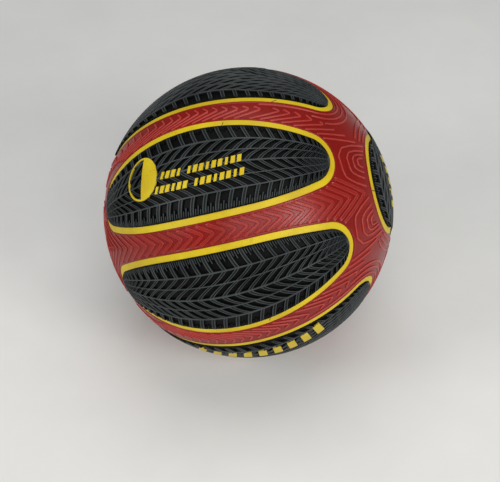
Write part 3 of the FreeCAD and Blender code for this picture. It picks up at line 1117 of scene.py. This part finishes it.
def thread_material():
    """Wound nylon thread: fine bands in three crossing directions."""
    n = Nodes("wound_thread")
    bands = []
    for turn in ((0.3, 0.9, 0.2), (1.4, 0.2, 0.8), (0.8, 1.7, 1.2)):
        turned = n.add("ShaderNodeMapping", [("Vector", n.position)])
        turned.inputs["Rotation"].default_value = turn
        wave = n.add("ShaderNodeTexWave", [("Vector", turned.outputs["Vector"])])
        wave.inputs["Scale"].default_value = 620.0
        wave.inputs["Distortion"].default_value = 2.0
        bands.append(wave.outputs["Fac"])
    height = n.mix(0.5, bands[0], bands[1])
    height = n.mix(0.33, height, bands[2])
    colour = n.ramp(height, [(0.2, (0.52, 0.50, 0.44)), (0.8, (0.78, 0.76, 0.70))])
    n.bump(height, 0.0002, 0.6)
    return n.finish(colour, 0.55, 0.4)


def paint_node(name, material):
    """Give a CAD node that stays in view its finish."""
    node = frame["nodes"][name]
    node.data.materials.clear()
    node.data.materials.append(material)


# ---- stage ----

FLOOR_REACH = 6.0


def floor(level):
    mesh = bpy.data.meshes.new("floor")
    corners = [(x * FLOOR_REACH, y * FLOOR_REACH, level) for x, y in ((-1, -1), (1, -1), (1, 1), (-1, 1))]
    mesh.from_pydata(corners, [], [(0, 1, 2, 3)])
    piece = bpy.data.objects.new("floor", mesh)
    bpy.context.scene.collection.objects.link(piece)
    n = Nodes("floor_paint")
    colour = n.ramp(n.noise(6.0), [(0.3, (0.79, 0.785, 0.76)), (0.7, (0.85, 0.845, 0.82))])
    mesh.materials.append(n.finish(colour, 0.75, 0.3))


# each light's name, place, size and power in watts; all point at the ball's centre
LIGHTS = [
    ("overhead", (0.1, 0.25, 1.6), (1.5, 1.2), 9.5),
    ("front", (0.15, -1.75, 1.45), (1.6, 1.1), 15.5),
    ("front_right", (0.95, -0.95, 0.75), (0.5, 0.6), 8.5),
    ("front_left", (-1.15, -0.5, 0.65), (0.5, 0.6), 5.5),
]
SKY_COLOUR = (0.95, 0.97, 1.0, 1.0)
SKY_STRENGTH = 0.15


def area_light(name, where, size, energy):
    data = bpy.data.lights.new(name, "AREA")
    data.shape = "RECTANGLE"
    data.size, data.size_y = size
    data.energy = energy
    light = bpy.data.objects.new(name, data)
    light.location = where
    aim = -np.array(where, float)
    flat = math.hypot(aim[0], aim[1])
    light.rotation_euler = (math.atan2(flat, -aim[2]), 0, math.atan2(-aim[0], aim[1]))
    bpy.context.scene.collection.objects.link(light)


# the camera: its sensor and focal length in mm, where it stands and its tilt up from straight down
SENSOR_WIDTH = 36.0
FOCAL_LENGTH = 86.4
CAMERA_PLACE = (0.0015, -0.7250, 0.6917)
CAMERA_TILT = 45.0 * DEG


def camera():
    data = bpy.data.cameras.new("camera")
    data.sensor_width = SENSOR_WIDTH
    data.lens = FOCAL_LENGTH
    view = bpy.data.objects.new("camera", data)
    view.location = CAMERA_PLACE
    view.rotation_euler = (CAMERA_TILT, 0, 0)
    bpy.context.scene.collection.objects.link(view)
    bpy.context.scene.camera = view


def world():
    sky = bpy.data.worlds.new("studio")
    bpy.context.scene.world = sky
    sky.use_nodes = True
    bpy.context.scene.view_settings.view_transform = "Standard"
    back = sky.node_tree.nodes["Background"]
    back.inputs["Color"].default_value = SKY_COLOUR
    back.inputs["Strength"].default_value = SKY_STRENGTH


def stage():
    floor(cad_box[0][2])
    for light in LIGHTS:
        area_light(*light)
    world()
    camera()


def build():
    black = tread_material()
    red = channel_material("channel_rubber", CHANNEL_RED)
    # the ridges' red, lighter as a painted highlight
    highlit_red = channel_material("channel_rubber_highlit", RIDGE_HIGHLIGHT_RED)
    yellow = yellow_material("border_paint", (0.55, 0.5, 0.5))
    ink = yellow_material("print_paint", (0.4, 0.35, 0.3))
    for name, own, arcs, heading in PANELS:
        tread_panel(name, own, arcs, heading, black)
        paint_node(name + "_border", yellow)
    lips(red)
    skin(red)
    ridges(highlit_red)
    boss(red)
    prints(ink)
    splices(plain_material("splice", (0.05, 0.03, 0.004), (0.09, 0.06, 0.008), 0.6, 200))
    carcass = plain_material("carcass_rubber", (0.016, 0.016, 0.017), (0.03, 0.03, 0.031), 0.6, 40)
    paint_node("carcass", carcass)
    paint_node("nylon_winding", thread_material())
    bladder = plain_material("butyl", (0.010, 0.010, 0.011), (0.022, 0.022, 0.024), 0.42, 25)
    paint_node("bladder", bladder)
    valve = plain_material("valve_rubber", (0.018, 0.018, 0.019), (0.034, 0.034, 0.035), 0.5, 120)
    paint_node("valve_housing", valve)
    paint_node("valve_insert", valve)
    stage()


build()
bpy.context.view_layer.update()
